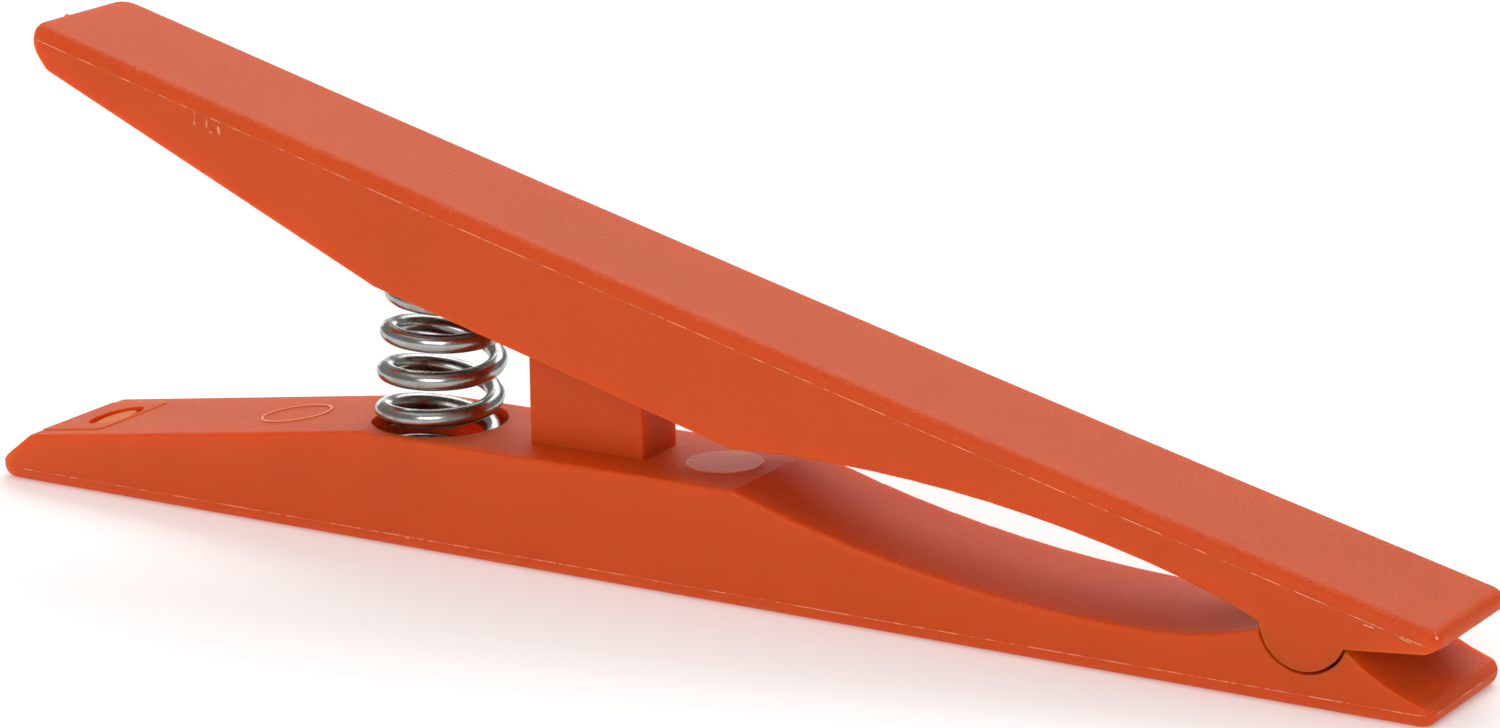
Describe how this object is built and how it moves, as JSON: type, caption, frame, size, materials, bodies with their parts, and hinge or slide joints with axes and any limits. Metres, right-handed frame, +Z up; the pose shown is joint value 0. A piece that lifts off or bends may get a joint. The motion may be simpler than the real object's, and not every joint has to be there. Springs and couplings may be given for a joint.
{
  "type": "spring clamp",
  "caption": "Plastic spring clamp: two long arms rock on a half-round fulcrum near short open jaws; a compression spring spreads the handles and a hooked post limits how far.",
  "frame": {"origin": "on the lower arm's flat outer face, under the fulcrum axis, at the middle of the width", "axes": "+X along the lower arm from the handles to the jaws, +Y across the width, +Z up from the lower arm to the upper arm"},
  "size_m": [0.1532, 0.015, 0.0458],
  "materials": {
    "orange_plastic": "fine matte moulded texture",
    "spring_wire": "bright zinc plated round wire"
  },
  "bodies": {
    "lower": {"lower_arm": "orange_plastic", "spring": "spring_wire"},
    "upper": {"upper_arm": "orange_plastic"}
  },
  "joints": [
    {"name": "squeeze", "type": "hinge", "parent": "lower", "child": "upper", "pos_m": [0, 0, 0.0074], "axis": [0, -1, 0], "range_deg": [0, 3.6], "stiffness_Nm_per_rad": 120, "springref_deg": -1.72, "deforming": ["spring"]}
  ]
}
